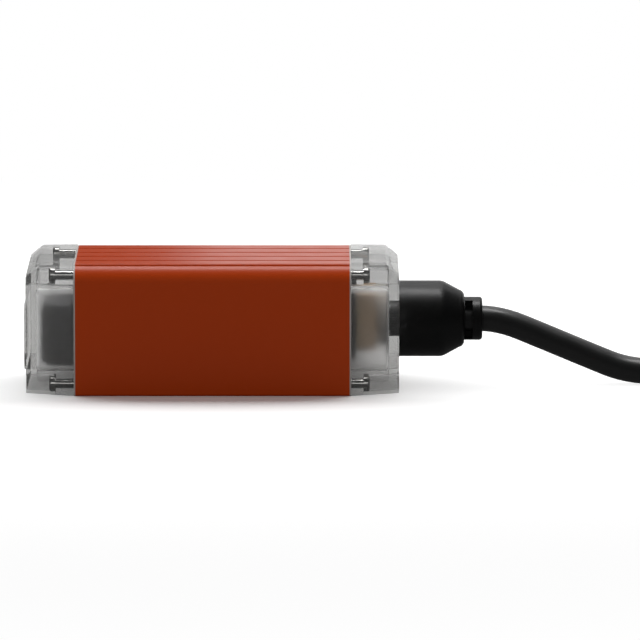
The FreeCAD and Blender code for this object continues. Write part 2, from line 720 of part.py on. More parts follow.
def flex_sockets():
    half = RIBBON_SOCKET_WIDTH / 2
    middle = RIBBON_LEVEL + RIBBON_THICKNESS / 2
    upright = block((SENSOR_BOARD_BACK - RIBBON_SOCKET_DEPTH, SENSOR_BOARD_BACK), (-half, half),
                    (middle - RIBBON_SOCKET_HEIGHT / 2, middle + RIBBON_SOCKET_HEIGHT / 2))
    foot = ribbon_x() - RIBBON_THICKNESS / 2
    flat = block((foot - RIBBON_SOCKET_DEPTH / 2, foot + RIBBON_SOCKET_DEPTH / 2), (-half, half),
                 (BOARD_TOP, BOARD_TOP + RIBBON_SOCKET_HEIGHT))
    return to_window_end(Part.makeCompound([upright, flat]))


def main_board():
    half = HALF_WIDTH - SIDE_WALL - BOARD_CLEARANCE
    return block((-BOARD_END, BOARD_END), (-half, half), (BOARD_LEVEL, BOARD_TOP))


def board_chips():
    """Chips placed by (x, y, side), and others by their gap to the near card rail instead of y."""
    near_rail = RAIL_REACH + SIDE_WALL - HALF_WIDTH
    chips = []
    for x, y, side in MIDDLE_CHIPS + tuple((x, near_rail + gap + side / 2, side) for x, gap, side in SIDE_CHIPS):
        chips.append(block((x - side / 2, x + side / 2), (y - side / 2, y + side / 2),
                           (BOARD_TOP, BOARD_TOP + CHIP_HEIGHT)))
    return Part.makeCompound(chips)


def beeper():
    body = Part.makeCylinder(BEEPER_RADIUS, BEEPER_HEIGHT, vec(BEEPER_X, BEEPER_Y, BOARD_TOP))
    port = Part.makeCylinder(BEEPER_PORT_RADIUS, BEEPER_PORT_DEPTH,
                             vec(BEEPER_X, BEEPER_Y, BOARD_TOP + BEEPER_HEIGHT - BEEPER_PORT_DEPTH))
    return body.cut(port)


def board_header():
    """Angled connector that joins the main board to the socket board."""
    end = SOCKET_BOARD_X
    start = BOARD_END - HEADER_LENGTH
    return block((start, end), (-HEADER_WIDTH / 2, HEADER_WIDTH / 2), (BOARD_TOP, BOARD_TOP + HEADER_HEIGHT))


# Cable socket

def connector_board():
    return block((SOCKET_BOARD_X, SOCKET_X), (-SOCKET_BOARD_WIDTH / 2, SOCKET_BOARD_WIDTH / 2),
                 (CAP_ROOM_LOW + SOCKET_BOARD_MARGIN, CAP_ROOM_HIGH - SOCKET_BOARD_MARGIN))


def status_leds():
    width, height = STATUS_LIGHT_SIZE
    lights = []
    for index in (-1, 0, 1):
        z = CABLE_LEVEL + index * STATUS_LIGHT_PITCH
        lights.append(block((SOCKET_X, SOCKET_X + height),
                            (STATUS_LIGHT_Y - width / 2, STATUS_LIGHT_Y + width / 2),
                            (z - width / 2, z + width / 2)))
    return Part.makeCompound(lights)


def socket_body():
    """Moulded body of the socket, hollowed for the nose of the plug."""
    body = prism(outline(SOCKET_X, SOCKET_WIDTH / 2, CABLE_LEVEL - SOCKET_HEIGHT / 2,
                         CABLE_LEVEL + SOCKET_HEIGHT / 2, SOCKET_EDGE, SOCKET_EDGE), SOCKET_LENGTH)
    recess = rod(FLANGE_X - SOCKET_RECESS_DEPTH, FLANGE_X, NOSE_RADIUS + SOCKET_RECESS_CLEARANCE, 0,
                 CABLE_LEVEL)
    return body.cut(recess)


def socket_flange():
    """Metal ring that clamps the socket to the inside of the end wall."""
    bore = NOSE_RADIUS + SOCKET_RECESS_CLEARANCE
    return turned([
        (FLANGE_X, bore),
        (FLANGE_X, FLANGE_RADIUS - FLANGE_EDGE),
        (FLANGE_X + FLANGE_EDGE, FLANGE_RADIUS),
        (END_WALL_INSIDE, FLANGE_RADIUS),
        (END_WALL_INSIDE, bore),
    ], 0, CABLE_LEVEL)


def port_seal():
    """Rubber ring between the port's wall and the nose of the plug."""
    ring = rod(END_WALL_INSIDE, CAP_END, PORT_RADIUS, 0, CABLE_LEVEL)
    return ring.cut(rod(END_WALL_INSIDE, CAP_END, NOSE_RADIUS, 0, CABLE_LEVEL))


def pin_places():
    places = []
    for index in range(PIN_COUNT):
        turn = 2 * math.pi * index / PIN_COUNT
        places.append((PIN_CIRCLE_RADIUS * math.sin(turn), CABLE_LEVEL + PIN_CIRCLE_RADIUS * math.cos(turn)))
    return places


def contact_pins():
    start = FLANGE_X - SOCKET_RECESS_DEPTH
    return Part.makeCompound([rod(start, start + PIN_LENGTH, PIN_RADIUS, y, z) for y, z in pin_places()])


# Plug and cable

def plug_barrel():
    """Metal nose of the plug."""
    tube = rod(NOSE_TIP, BOSS_FACE, NOSE_RADIUS, 0, CABLE_LEVEL)
    return tube.cut(rod(NOSE_TIP, BOSS_FACE, NOSE_RADIUS - NOSE_WALL, 0, CABLE_LEVEL))


def plug_insert():
    """Insulator inside the nose, bored for the contact pins."""
    start = NOSE_TIP + INSERT_SETBACK
    insert = rod(start, BOSS_FACE, NOSE_RADIUS - NOSE_WALL, 0, CABLE_LEVEL)
    depth = FLANGE_X - SOCKET_RECESS_DEPTH + PIN_LENGTH + INSERT_SETBACK
    holes = [rod(start, depth, PIN_RADIUS + PIN_CLEARANCE, y, z) for y, z in pin_places()]
    return insert.cut(holes)


def plug_overmould():
    """Grip moulded round the plug: straight, then tapering to the strain relief."""
    taper_start = BOSS_FACE + MOULD_STRAIGHT
    taper_end = taper_start + MOULD_TAPER
    root_start = MOULD_END - RELIEF_ROOT
    cable_start = MOULD_END - CABLE_SEATING
    tail = MOULD_TAPER_RADIUS - RELIEF_RADIUS
    outer = Part.makePolygon([
        vec(taper_end, 0, CABLE_LEVEL + MOULD_TAPER_RADIUS),
        vec(taper_start, 0, CABLE_LEVEL + MOULD_RADIUS),
        vec(BOSS_FACE, 0, CABLE_LEVEL + MOULD_RADIUS),
        vec(BOSS_FACE, 0, CABLE_LEVEL),
        vec(cable_start, 0, CABLE_LEVEL),
        vec(cable_start, 0, CABLE_LEVEL + CABLE_RADIUS),
        vec(root_start, 0, CABLE_LEVEL + CABLE_RADIUS),
        vec(root_start, 0, CABLE_LEVEL + RELIEF_ROOT_RADIUS),
        vec(MOULD_END, 0, CABLE_LEVEL + RELIEF_ROOT_RADIUS),
        vec(MOULD_END, 0, CABLE_LEVEL + RELIEF_RADIUS),
    ])
    slant = math.sqrt(0.5)
    nose = Part.Arc(vec(MOULD_END, 0, CABLE_LEVEL + RELIEF_RADIUS),
                    vec(taper_end + MOULD_TAIL * slant, 0, CABLE_LEVEL + RELIEF_RADIUS + tail * slant),
                    vec(taper_end, 0, CABLE_LEVEL + MOULD_TAPER_RADIUS)).toShape()
    wire = Part.Wire(Part.sortEdges(outer.Edges + [nose])[0])
    mould = Part.Face(wire).revolve(vec(0, 0, CABLE_LEVEL), ALONG, 360)
    return rounded(mould, MOULD_SHOULDER, lies_at(taper_start))


def strain_relief():
    """Sleeve with an outer ring, joined to its root by a web above and one below."""
    root_start = MOULD_END - RELIEF_ROOT
    sleeve = turned([
        (root_start, CABLE_RADIUS),
        (root_start, RELIEF_ROOT_RADIUS),
        (MOULD_END, RELIEF_ROOT_RADIUS),
        (MOULD_END, RELIEF_RADIUS),
        (RELIEF_END, RELIEF_RADIUS),
        (RELIEF_END, CABLE_RADIUS + RELIEF_MOUTH),
        (RELIEF_END - RELIEF_MOUTH, CABLE_RADIUS),
    ], 0, CABLE_LEVEL)
    window_start = MOULD_END + RELIEF_WINDOW_SETBACK
    half = RELIEF_RADIUS - RELIEF_STRIP
    windows = [block((window_start, window_start + RELIEF_WINDOW), (near, near + RELIEF_RADIUS),
                     (CABLE_LEVEL - half, CABLE_LEVEL + half))
               for near in (RELIEF_WEB / 2, -RELIEF_WEB / 2 - RELIEF_RADIUS)]
    sleeve = sleeve.cut(windows)

    def is_outer_rim(edge):
        return lies_at(RELIEF_END)(edge) and edge.BoundBox.YLength > 2 * (RELIEF_RADIUS - RELIEF_ROUND)
    return rounded(sleeve, RELIEF_ROUND, is_outer_rim)


def unit(vector):
    return vector * (1 / vector.Length)


def cord_path(points):
    """Wire of straight runs joined by tangent arcs; prints the radius of each arc."""
    edges = []
    radii = []
    cursor = points[0]
    for before, corner, after in zip(points, points[1:], points[2:]):
        back = unit(before - corner)
        ahead = unit(after - corner)
        turn = math.pi - back.getAngle(ahead)
        reach = RUN_SHARE * min((before - corner).Length, (after - corner).Length)
        radius = reach / math.tan(turn / 2)
        start = corner + back * reach
        end = corner + ahead * reach
        centre = corner + unit(back + ahead) * (radius / math.cos(turn / 2))
        middle = centre + unit(corner - centre) * radius
        edges.append(Part.LineSegment(cursor, start).toShape())
        edges.append(Part.Arc(start, middle, end).toShape())
        radii.append(round(radius, 1))
        cursor = end
    edges.append(Part.LineSegment(cursor, points[-1]).toShape())
    print("arc radii", radii)
    return Part.Wire(edges)


def cord_tube(points):
    """Round cable along a path; prints its volume beside section times length."""
    path = cord_path(points)
    heading = unit(points[1] - points[0])
    section = Part.Wire(Part.makeCircle(CABLE_RADIUS, points[0], heading))
    tube = path.makePipeShell([section], True, False)
    print("tube length", round(path.Length, 1), "volume", round(tube.Volume, 1),
          "section times length", round(math.pi * CABLE_RADIUS ** 2 * path.Length, 1))
    return tube


def cable():
    start = vec(MOULD_END - CABLE_SEATING, 0, CABLE_LEVEL)
    return cord_tube([start] + [vec(*point) for point in CABLE_ROUTE])


def racetrack(radius):
    """Closed wire round the hank's two end loops, at one distance from their centres."""
    left = HANK_X
    right = HANK_X + HANK_RUN
    near = HANK_Y - radius
    far = HANK_Y + radius
    edges = [
        Part.makeLine(vec(left, near, HANK_BASE), vec(right, near, HANK_BASE)),
        Part.Arc(vec(right, near, HANK_BASE), vec(right + radius, HANK_Y, HANK_BASE),
                 vec(right, far, HANK_BASE)).toShape(),
        Part.makeLine(vec(right, far, HANK_BASE), vec(left, far, HANK_BASE)),
        Part.Arc(vec(left, far, HANK_BASE), vec(left - radius, HANK_Y, HANK_BASE),
                 vec(left, near, HANK_BASE)).toShape(),
    ]
    return Part.Wire(edges)


def cable_hank():
    """Outer form of the cable wound in a long, flat-sided ring that lies on the floor."""
    rise = vec(0, 0, HANK_TOP - HANK_BASE)
    outer = Part.Face(racetrack(HANK_RADIUS + HANK_HALF_SECTION)).extrude(rise)
    inner = Part.Face(racetrack(HANK_RADIUS - HANK_HALF_SECTION)).extrude(rise)
    ring = outer.cut(inner)
    return ring.makeFillet(HANK_ROUND, [edge for edge in ring.Edges if edge.BoundBox.ZLength < 1e-4])


def hank_tie():
    """Band round the near run of the hank, under the far plug."""
    inner_half = HANK_HALF_SECTION + TIE_CLEARANCE
    outer_half = inner_half + TIE_THICKNESS
    start = HANK_X + (HANK_RUN - TIE_WIDTH) / 2
    middle = HANK_Y - HANK_RADIUS
    band = block((start, start + TIE_WIDTH), (middle - outer_half, middle + outer_half), (0, TIE_TOP))
    return band.cut(block((start, start + TIE_WIDTH), (middle - inner_half, middle + inner_half),
                          (TIE_THICKNESS, TIE_TOP - TIE_THICKNESS)))


def tail_points():
    """Polygon on top of the hank's end loop that the last stretch of cable follows to the plug."""
    step = 180 / TAIL_SIDES
    corner = HANK_RADIUS / math.cos(math.radians(step / 2))
    reach = corner * math.sin(math.radians(step / 2))
    points = [vec(HANK_X + reach, HANK_Y + HANK_RADIUS, TAIL_LEVEL)]
    for index in range(TAIL_SIDES):
        turn = math.radians(90 + step * (index + 0.5))
        points.append(vec(HANK_X + corner * math.cos(turn), HANK_Y + corner * math.sin(turn), TAIL_LEVEL))
    points.append(vec(HANK_X + reach, HANK_Y - HANK_RADIUS, TAIL_LEVEL))
    return points


def cable_tail():
    return cord_tube(tail_points())


def at_tail_end(shape):
    """Place a piece drawn along +X from the origin at the end of the cable."""
    placed = shape.copy()
    placed.translate(tail_points()[-1])
    return placed


def usb_overmould():
    half = USB_GRIP_HEIGHT / 2
    grip = prism(outline(0, USB_GRIP_WIDTH / 2, -half, half, USB_GRIP_ROUND, USB_GRIP_ROUND),
                 USB_GRIP_LENGTH)
    return at_tail_end(rounded(grip, USB_GRIP_ROUND / 2, lies_at(0)))


def usb_shell():
    """Folded metal sleeve of the far plug."""
    start = USB_GRIP_LENGTH
    end = start + USB_SHELL_LENGTH
    half_width = USB_SHELL_WIDTH / 2
    half_height = USB_SHELL_HEIGHT / 2
    outer = block((start, end), (-half_width, half_width), (-half_height, half_height))
    wall = USB_SHELL_WALL
    inner = block((start + wall, end), (wall - half_width, half_width - wall),
                  (wall - half_height, half_height - wall))
    latches = []
    for y in (-USB_LATCH_Y, USB_LATCH_Y):
        latches.append(block((end - USB_LATCH_SETBACK - USB_LATCH_SIZE, end - USB_LATCH_SETBACK),
                             (y - USB_LATCH_SIZE / 2, y + USB_LATCH_SIZE / 2), (0, half_height)))
    return at_tail_end(outer.cut([inner] + latches))


def usb_tongue():
    """Insulator that carries the contacts inside the sleeve."""
    start = USB_GRIP_LENGTH + USB_SHELL_WALL
    half = USB_SHELL_WIDTH / 2 - USB_SHELL_WALL
    floor = USB_SHELL_WALL - USB_SHELL_HEIGHT / 2
    end = USB_GRIP_LENGTH + USB_SHELL_LENGTH - USB_TONGUE_SETBACK
    return at_tail_end(block((start, end), (-half, half), (floor, floor + USB_TONGUE_THICKNESS)))


def window_gasket():
    return to_window_end(gasket())


def window_cap_screws():
    return to_window_end(cap_screws(WINDOW_SEAT, WINDOW_SCREW_LENGTH))


def cable_cap_screws():
    return cap_screws(CABLE_SEAT, CABLE_SCREW_LENGTH)


PARTS = {
    "housing_extrusion": housing_extrusion,
    "window_gasket": window_gasket,
    "cable_gasket": gasket,
    "window_end_cap": window_end_cap,
    "cable_end_cap": cable_end_cap,
    "window_cap_screws": window_cap_screws,
    "cable_cap_screws": cable_cap_screws,
    "optics_housing": optics_housing,
    "illumination_board": illumination_board,
    "illumination_leds": illumination_leds,
    "aimer_barrels": aimer_barrels,
    "lens_barrel": lens_barrel,
    "lens_elements": lens_elements,
    "lens_mount": lens_mount,
    "sensor_board": sensor_board,
    "image_sensor": image_sensor,
    "board_spacers": board_spacers,
    "sensor_board_screws": sensor_board_screws,
    "flex_ribbon": flex_ribbon,
    "flex_sockets": flex_sockets,
    "main_board": main_board,
    "board_chips": board_chips,
    "beeper": beeper,
    "board_header": board_header,
    "connector_board": connector_board,
    "status_leds": status_leds,
    "socket_body": socket_body,
    "socket_flange": socket_flange,
    "port_seal": port_seal,
    "contact_pins": contact_pins,
    "plug_barrel": plug_barrel,
    "plug_insert": plug_insert,
    "plug_overmould": plug_overmould,
    "strain_relief": strain_relief,
    "cable": cable,
    "cable_hank": cable_hank,
    "hank_tie": hank_tie,
    "cable_tail": cable_tail,
    "usb_overmould": usb_overmould,
    "usb_shell": usb_shell,
    "usb_tongue": usb_tongue,
}


def main():
    os.makedirs("parts", exist_ok=True)
    for name, make in PARTS.items():
        shape = make()
        shape.exportStep("parts/" + name + ".step")
        print(name, len(shape.Solids), "solids", round(shape.Volume, 1), "mm3", shape.isValid())


main()
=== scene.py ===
# %% [markdown]
# # A small embedded barcode reader, dressed for its picture
# The real object is an orange extruded aluminium housing between two clear moulded end caps, with
# a black moulded plug and cable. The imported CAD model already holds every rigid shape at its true
# size. This lesson loads it as a fixed frame, lays the cable as one smooth curve, and gives each
# surface a finish that starts from what the real one is made of.

import json
import math

import bpy
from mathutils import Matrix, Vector

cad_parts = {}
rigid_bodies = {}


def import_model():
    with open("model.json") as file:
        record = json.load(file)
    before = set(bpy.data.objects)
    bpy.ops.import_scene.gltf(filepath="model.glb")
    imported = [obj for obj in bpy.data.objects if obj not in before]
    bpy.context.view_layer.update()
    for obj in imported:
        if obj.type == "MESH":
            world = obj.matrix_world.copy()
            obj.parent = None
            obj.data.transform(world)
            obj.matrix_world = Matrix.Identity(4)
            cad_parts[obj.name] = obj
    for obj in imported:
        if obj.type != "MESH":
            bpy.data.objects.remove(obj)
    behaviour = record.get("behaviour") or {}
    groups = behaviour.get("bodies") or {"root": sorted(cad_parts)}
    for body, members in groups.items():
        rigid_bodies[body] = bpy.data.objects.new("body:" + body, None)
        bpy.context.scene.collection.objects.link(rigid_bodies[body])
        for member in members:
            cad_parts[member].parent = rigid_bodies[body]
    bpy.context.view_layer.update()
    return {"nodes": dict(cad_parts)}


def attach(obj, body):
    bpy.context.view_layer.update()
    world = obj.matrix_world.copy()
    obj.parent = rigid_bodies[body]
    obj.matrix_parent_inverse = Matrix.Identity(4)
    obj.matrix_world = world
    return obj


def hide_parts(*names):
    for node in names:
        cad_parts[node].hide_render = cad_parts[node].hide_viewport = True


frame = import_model()
nodes = frame["nodes"]

# %% [markdown]
# ## Camera
# The reader was photographed from its long side with a long lens, from far away and a little above,
# so its vertical edges stay vertical and its ends hardly converge. The camera is placed by its
# elevation and distance round a target, and the focal length then sets the size in the frame.

# %% Camera
TARGET = Vector((0.0294, 0.0, 0.0177))
ELEVATION = math.radians(8.8)
DISTANCE = 2.18
FOCAL_LENGTH = 444.66
SENSOR_WIDTH = 36.0
CLIP_START = 0.1
CLIP_END = 20.0


def aim(thing, place, target):
    """Puts an object at a place, with its local -Z axis towards a target."""
    thing.location = place
    thing.rotation_euler = (target - place).to_track_quat("-Z", "Y").to_euler()


camera_data = bpy.data.cameras.new("camera")
camera_data.sensor_width = SENSOR_WIDTH
camera_data.lens = FOCAL_LENGTH
camera_data.clip_start = CLIP_START
camera_data.clip_end = CLIP_END
camera = bpy.data.objects.new("camera", camera_data)
bpy.context.scene.collection.objects.link(camera)
back = Vector((0.0, -math.cos(ELEVATION), math.sin(ELEVATION)))
aim(camera, TARGET + DISTANCE * back, TARGET)
bpy.context.scene.camera = camera
bpy.context.scene.view_settings.view_transform = "Standard"
print("camera at", [round(x, 3) for x in camera.location])

# %% [markdown]
# ## Colours and nodes
# Colours are written as they look on a screen, in sRGB hex, and Blender's shaders work in linear
# light, so one function turns the first into the second. One more adds a node, with its settings,
# its typed-in values and its links, which keeps each finish below down to a few readable lines.

# %% Colour and node helpers
def linear(hex_colour):
    """Linear RGBA from an sRGB hex string such as "#c8c8c8"."""
    channels = [int(hex_colour[i:i + 2], 16) / 255 for i in (1, 3, 5)]
    return [c / 12.92 if c <= 0.04045 else ((c + 0.055) / 1.055) ** 2.4 for c in channels] + [1.0]


def add_node(tree, kind, values=None, links=None, **settings):
    """A new node: settings are its own properties, values and links go to its input sockets."""
    node = tree.nodes.new(kind)
    for name, value in settings.items():
        setattr(node, name, value)
    for socket, value in (values or {}).items():
        node.inputs[socket].default_value = value
    for socket, source in (links or {}).items():
        tree.links.new(source, node.inputs[socket])
    return node


def per_metre(size_mm):
    """Pattern scale at which one cell of a texture is about so many millimetres wide."""
    return 1000.0 / size_mm


MIRRORED_ONCE = 0.5
PASSED_THREE_FACES = 2.5


def seen_straight(tree):
    """Light path node, and 1 for rays from the camera, also after they pass through clear plastic.

    A ray that was mirrored and passed three faces comes from metal inside a cap, and gets 0.
    """
    path = add_node(tree, "ShaderNodeLightPath")
    passed = add_node(tree, "ShaderNodeMath", operation="MAXIMUM",
                      links={0: path.outputs["Is Camera Ray"], 1: path.outputs["Is Transmission Ray"]})
    mirrored = add_node(tree, "ShaderNodeMath", {1: MIRRORED_ONCE}, {0: path.outputs["Glossy Depth"]},
                        operation="GREATER_THAN")
    deep = add_node(tree, "ShaderNodeMath", {1: PASSED_THREE_FACES},
                    {0: path.outputs["Transmission Depth"]}, operation="GREATER_THAN")
    inner = add_node(tree, "ShaderNodeMath", links={0: mirrored.outputs[0], 1: deep.outputs[0]},
                     operation="MULTIPLY")
    both = add_node(tree, "ShaderNodeMath", links={0: passed.outputs[0], 1: inner.outputs[0]},
                    operation="SUBTRACT", use_clamp=True)
    return path, both


# %% [markdown]
# ## Background and light
# A product picture like this one is taken on a white table in front of a white wall. The world is
# white for the camera, also through clear plastic. It is nearly black in shiny faces, a little
# lighter towards the wall, and a weak grey fill for everything else.

# %% World
FILL_STRENGTH = 0.21
GLOSS_FRONT = 0.03
GLOSS_BACK = 0.05
WALL_DIRECTION = (0.12, 0.8, 0.35)
WALL_STARTS = -0.2
WALL_FULL = 0.75
world = bpy.data.worlds.new("studio")
bpy.context.scene.world = world
world.use_nodes = True
tree = world.node_tree
tree.nodes.clear()
path, seen = seen_straight(tree)
fill = add_node(tree, "ShaderNodeBackground", {"Color": linear("#ffffff"), "Strength": FILL_STRENGTH})
direction = add_node(tree, "ShaderNodeTexCoord")
towards_wall = add_node(tree, "ShaderNodeVectorMath", {1: WALL_DIRECTION},
                        {0: direction.outputs["Generated"]}, operation="DOT_PRODUCT")
room = add_node(tree, "ShaderNodeMapRange",
                {"From Min": WALL_STARTS, "From Max": WALL_FULL,
                 "To Min": GLOSS_FRONT, "To Max": GLOSS_BACK},
                {"Value": towards_wall.outputs["Value"]}, interpolation_type="SMOOTHSTEP")
mirrored = add_node(tree, "ShaderNodeBackground", {"Color": linear("#ffffff")},
                    {"Strength": room.outputs[0]})
white = add_node(tree, "ShaderNodeBackground", {"Color": linear("#ffffff"), "Strength": 1.0})
with_gloss = add_node(tree, "ShaderNodeMixShader",
                      links={0: path.outputs["Is Glossy Ray"], 1: fill.outputs[0],
                             2: mirrored.outputs[0]})
with_view = add_node(tree, "ShaderNodeMixShader",
                     links={0: seen.outputs[0], 1: with_gloss.outputs[0], 2: white.outputs[0]})
add_node(tree, "ShaderNodeOutputWorld", links={"Surface": with_view.outputs[0]})
print("world", world.name)

# %% [markdown]
# Five lamps do what a studio's soft boxes and cards do. One above and one behind it make the top
# shine, and a wide one in front fills the long side without a reflection. The table has a lamp of
# its own, so its shadow can be set apart from the object. A small card behind, right of the middle,
# shows only in reflections.

# %% Lamps
def softbox(name, place, target, width, height, power):
    """Rectangular area lamp that the camera doesn't see."""
    lamp = bpy.data.lights.new(name, "AREA")
    lamp.shape = "RECTANGLE"
    lamp.size, lamp.size_y, lamp.energy = width, height, power
    thing = bpy.data.objects.new(name, lamp)
    bpy.context.scene.collection.objects.link(thing)
    aim(thing, Vector(place), Vector(target))
    thing.visible_camera = False
    return thing


overhead = softbox("overhead_softbox", place=(0.04, 0.12, 0.85), target=(0.0, 0.0, 0.03),
                   width=0.50, height=0.24, power=6.2)
behind = softbox("back_softbox", place=(0.10, 0.70, 0.75), target=(0.0, 0.0, 0.03),
                 width=1.1, height=0.34, power=2.6)
front = softbox("front_fill", place=(-0.1, -1.6, 0.45), target=(0.02, 0.0, 0.02),
                width=1.2, height=0.6, power=5.2)
front.visible_glossy = False
table = softbox("table_softbox", place=(0.0, 0.43, 0.85), target=(0.0, 0.0, 0.0),
                width=2.4, height=0.50, power=13.0)
on_object = bpy.data.collections.new("lit by the object's lamps")
on_table = bpy.data.collections.new("lit by the table's lamp")
for lamp in (overhead, behind, front):
    lamp.light_linking.receiver_collection = on_object
table.light_linking.receiver_collection = on_table
casts = bpy.data.collections.new("casts the table's shadow")
table.light_linking.blocker_collection = casts
wall_card = softbox("wall_card", place=(0.212, 0.42, 0.105), target=(0.212, 0.0, 0.036),
                    width=0.45, height=0.18, power=0.33)
wall_card.visible_diffuse = False
wall_card.visible_transmission = False

# %% [markdown]
# ## Table
# The table is a plain sheet that carries the soft shadow. Near the object it is lit like any other
# surface, a little over white for the camera so that only real shadow shows, and further out it
# turns into the same white as the wall, so no horizon line is left in the picture.

# %% Floor
FLOOR_SIZE = 12.0
FLOOR_GAIN = 1.35
FLOOR_IN_GLOSS = 0.16
FLOOR_IN_FILL = 0.5
FADE_START = 0.1
FADE_END = 0.42
floor_mesh = bpy.data.meshes.new("floor")
half = FLOOR_SIZE / 2
floor_mesh.from_pydata([(-half, -half, 0), (half, -half, 0), (half, half, 0), (-half, half, 0)], [],
                       [(0, 1, 2, 3)])
floor = bpy.data.objects.new("floor", floor_mesh)
bpy.context.scene.collection.objects.link(floor)

paper = bpy.data.materials.new("matt white paper")
paper.use_nodes = True
tree = paper.node_tree
tree.nodes.clear()
path, seen = seen_straight(tree)
tone = add_node(tree, "ShaderNodeMix",
                {"A": (FLOOR_IN_FILL,) * 3 + (1.0,), "B": (FLOOR_GAIN,) * 3 + (1.0,)},
                {"Factor": seen.outputs[0]}, data_type="RGBA")
mirrored = add_node(tree, "ShaderNodeMath", operation="SUBTRACT", use_clamp=True,
                    links={0: path.outputs["Is Glossy Ray"], 1: seen.outputs[0]})
dull = add_node(tree, "ShaderNodeMix", {"B": (FLOOR_IN_GLOSS,) * 3 + (1.0,)},
                {"Factor": mirrored.outputs[0], "A": tone.outputs[2]}, data_type="RGBA")
lit = add_node(tree, "ShaderNodeBsdfDiffuse", links={"Color": dull.outputs[2]})
glow = add_node(tree, "ShaderNodeEmission", {"Color": linear("#ffffff"), "Strength": 1.0})
where = add_node(tree, "ShaderNodeNewGeometry")
reach = add_node(tree, "ShaderNodeVectorMath", operation="LENGTH",
                 links={0: where.outputs["Position"]})
far = add_node(tree, "ShaderNodeMapRange", {"From Min": FADE_START, "From Max": FADE_END},
               {"Value": reach.outputs["Value"]}, interpolation_type="SMOOTHSTEP")
share = add_node(tree, "ShaderNodeMath", operation="MULTIPLY",
                 links={0: far.outputs[0], 1: seen.outputs[0]})
both = add_node(tree, "ShaderNodeMixShader",
                links={0: share.outputs[0], 1: lit.outputs[0], 2: glow.outputs[0]})
add_node(tree, "ShaderNodeOutputMaterial", links={"Surface": both.outputs[0]})
floor_mesh.materials.append(paper)
print("floor", FLOOR_SIZE, "m wide")

# %% [markdown]
# ## Cable
# A cable is a fixed length of something springy: it leaves its strain relief straight, falls to the
# table in one easy curve and lies there. It could be swept as a mesh, but a NURBS spline through a
# few chosen points with a round bevel stays smooth at any size. The same points are the runs of the
# CAD tube. The part of the lead that the picture leaves out is put away as a hank on the same spline.

# %% Cable route
MM = 0.001
CABLE_DIAMETER = 0.0072
ROUTE_MM = [
    (60.1, 0.0, 18.2),
    (68.0, 0.0, 18.2),
    (78.8, 0.0, 18.2),
    (91.0, -0.2, 13.2),
    (103.5, -0.6, 8.0),
    (114.3, -1.0, 3.65),
    (129.0, -3.2, 3.65),
    (143.0, -10.5, 3.65),
]
LEAD_IN_MM = [(154.0, -12.6, 4.1)]
print("free cable points", len(ROUTE_MM) + len(LEAD_IN_MM))

# %% [markdown]
# The hank is wound as a neat ring with two straight sides, two turns across and three high. Each
# turn keeps its place in the stack, and changes to the next place a little earlier than the turn
# before it did, so that no turn passes through another.

# %% Hank of put-away cable
HANK_X = 165.2
HANK_Y = 18.0
HANK_RUN = 52.0
HANK_RADIUS = 25.2
CABLE_RADIUS_MM = CABLE_DIAMETER / MM / 2
OUTER = HANK_RADIUS + CABLE_RADIUS_MM
INNER = HANK_RADIUS - CABLE_RADIUS_MM
LOW, MIDDLE, HIGH, TOP = 4.5, 11.7, 18.9, 26.3
LOOP = math.pi * HANK_RADIUS
TURN = 2 * (HANK_RUN + LOOP)
SLOTS_MM = [
    (OUTER, LOW), (INNER, LOW),
    (INNER, MIDDLE), (OUTER, MIDDLE),
    (OUTER, HIGH), (INNER, HIGH),
    (INNER, TOP),
]
CHANGE_START = TURN - 80.0
CHANGE_LENGTH = 72.0
CHANGE_STEP = 24.0
HANK_LAPS = 6
LAST_STRETCH = 10.0
RUN_POINTS = 4
LOOP_POINTS = 12


def ease(share):
    """Smooth step from 0 to 1."""
    share = min(max(share, 0.0), 1.0)
    return share * share * (3 - 2 * share)


def slot_at(travel):
    """Offset and level of the winding after so many millimetres round the ring's middle line."""
    offset, level = SLOTS_MM[0]
    for index in range(len(SLOTS_MM) - 1):
        change = index * (TURN - CHANGE_STEP) + CHANGE_START
        share = ease((travel - change) / CHANGE_LENGTH)
        offset += share * (SLOTS_MM[index + 1][0] - SLOTS_MM[index][0])
        level += share * (SLOTS_MM[index + 1][1] - SLOTS_MM[index][1])
    return offset, level


def ring_point(travel):
    """Place on the winding: near run, right loop, far run, left loop."""
    offset, level = slot_at(travel)
    along = travel % TURN
    if along < HANK_RUN:
        return (HANK_X + along, HANK_Y - offset, level)
    if along < HANK_RUN + LOOP:
        turn = (along - HANK_RUN) / HANK_RADIUS - math.pi / 2
        return (HANK_X + HANK_RUN + offset * math.cos(turn), HANK_Y + offset * math.sin(turn), level)
    if along < 2 * HANK_RUN + LOOP:
        return (HANK_X + 2 * HANK_RUN + LOOP - along, HANK_Y + offset, level)
    turn = (along - 2 * HANK_RUN - LOOP) / HANK_RADIUS + math.pi / 2
    return (HANK_X + offset * math.cos(turn), HANK_Y + offset * math.sin(turn), level)


def turn_stations():
    """Distances round one turn at which it gets a control point."""
    stations = []
    start = 0.0
    for length, count in ((HANK_RUN, RUN_POINTS), (LOOP, LOOP_POINTS)) * 2:
        stations += [start + length * index / count for index in range(count)]
        start += length
    return stations


LAST_TRAVEL = (HANK_LAPS - 1) * TURN + HANK_RUN + LOOP + LAST_STRETCH
hank = []
for lap in range(HANK_LAPS):
    for station in turn_stations():
        if lap * TURN + station <= LAST_TRAVEL:
            hank.append(ring_point(lap * TURN + station))
print("hank points", len(hank))

# %% [markdown]
# The last stretch lies on top of the ring, goes round its left end loop and runs into the far plug,
# which rests on the tie.
#
# Blender draws a curve as thick as its bevel depth times the radius of its points, and also takes
# that radius as the margin of the curve's box, so the points carry the cable's true radius.

